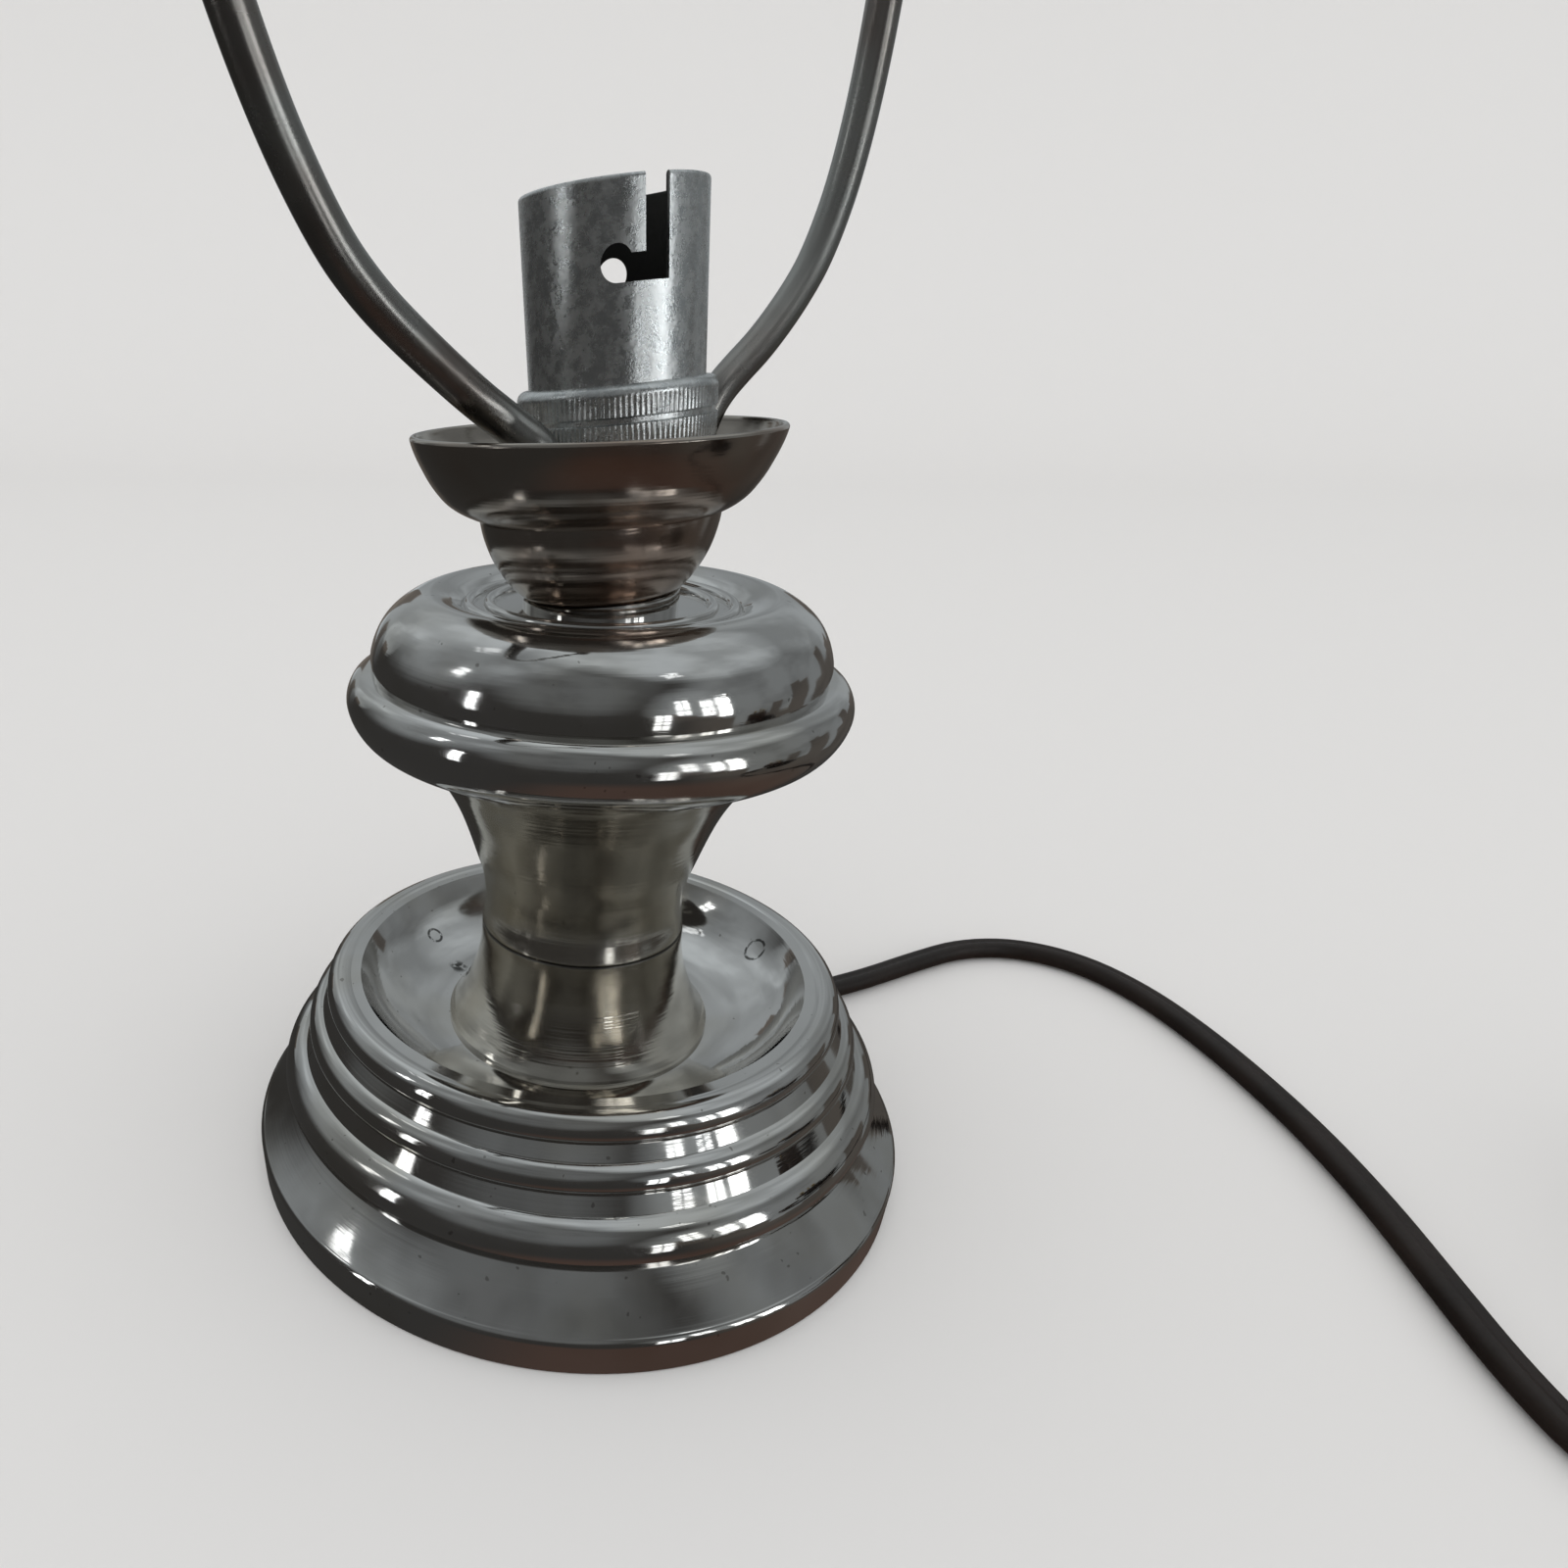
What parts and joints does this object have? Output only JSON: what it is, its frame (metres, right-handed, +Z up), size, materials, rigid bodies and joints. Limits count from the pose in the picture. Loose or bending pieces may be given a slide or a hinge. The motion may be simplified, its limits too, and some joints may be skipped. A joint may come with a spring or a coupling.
{
  "type": "table lamp base",
  "caption": "Small polished table lamp with a stepped dished base, a flared column with a mushroom-shaped knop, a drip cup, a bayonet lampholder and a wire shade harp.",
  "frame": {"origin": "middle of the round resting face under the base, on the table", "axes": "+Z up along the column, -Y towards the picture's camera, +X to its right, where the cord lies"},
  "size_m": [0.347, 0.1785, 0.2912],
  "materials": {
    "nickel": "polished nickel plate on spun brass, slightly aged",
    "cork": "pressed cork disc",
    "iron": "rough cast iron",
    "steel": "plated steel",
    "fibre": "vulcanised fibre",
    "harp_metal": "dull nickel-plated wire",
    "holder_zinc": "satin zinc-grey plate",
    "bakelite": "dark brown moulding",
    "brass": "plain brass",
    "cord_dark": "dark brown flexible cord",
    "dark_plastic": "dark brown moulding"
  },
  "bodies": {
    "lamp": {"base_shell": "nickel", "knop_rim": "nickel", "knop_dome": "nickel", "column_foot": "nickel", "column_stem": "nickel", "neck_collar": "nickel", "lower_bowl": "nickel", "drip_cup": "nickel", "base_pad": "cork", "base_weight": "iron", "base_washer": "steel", "base_nut": "steel", "tie_rod": "steel", "deck_spacer": "steel", "coupling_block": "steel", "nipple": "steel", "bowl_washer": "steel", "stack_spacer": "steel", "cap_nut": "steel", "cup_packing": "fibre", "harp_saddle": "harp_metal", "harp_loop": "harp_metal", "harp_boss": "harp_metal", "holder_cap": "holder_zinc", "holder_barrel": "holder_zinc", "union_ring": "holder_zinc", "holder_body": "bakelite", "holder_lid": "bakelite", "plug_pin_live": "brass", "plug_pin_neutral": "brass", "plug_pin_earth": "brass", "spring_right": "steel", "spring_left": "steel", "grommet": "cord_dark", "inner_cord": "cord_dark", "cord_run": "cord_dark", "link_run": "cord_dark", "cord_coil": "cord_dark", "cord_tail": "cord_dark", "switch_low": "dark_plastic", "switch_top": "dark_plastic", "plug_low": "dark_plastic", "plug_top": "dark_plastic", "switch_screw_near": "steel", "switch_screw_far": "steel"},
    "finial": {"finial": "nickel"},
    "plunger_right": {"plunger_right": "brass"},
    "plunger_left": {"plunger_left": "brass"},
    "rocker": {"switch_rocker": "dark_plastic"}
  },
  "joints": [
    {"name": "finial_lift", "type": "slide", "parent": "lamp", "child": "finial", "axis": [-0.0872, 0, 0.9962], "range_m": [0, 0.02]},
    {"name": "plunger_right_slide", "type": "slide", "parent": "lamp", "child": "plunger_right", "axis": [-0.0872, 0, 0.9962], "range_m": [-0.0025, 0], "stiffness_N_per_m": 1500, "springref_m": 0.001, "deforming": ["spring_right"]},
    {"name": "plunger_left_slide", "type": "slide", "parent": "lamp", "child": "plunger_left", "axis": [-0.0872, 0, 0.9962], "range_m": [-0.0025, 0], "stiffness_N_per_m": 1500, "springref_m": 0.001, "deforming": ["spring_left"]},
    {"name": "rocker_tilt", "type": "hinge", "parent": "lamp", "child": "rocker", "pos_m": [0.2193, -0.0886, 0.0112], "axis": [0, 1, 0], "range_deg": [-16, 0]}
  ]
}
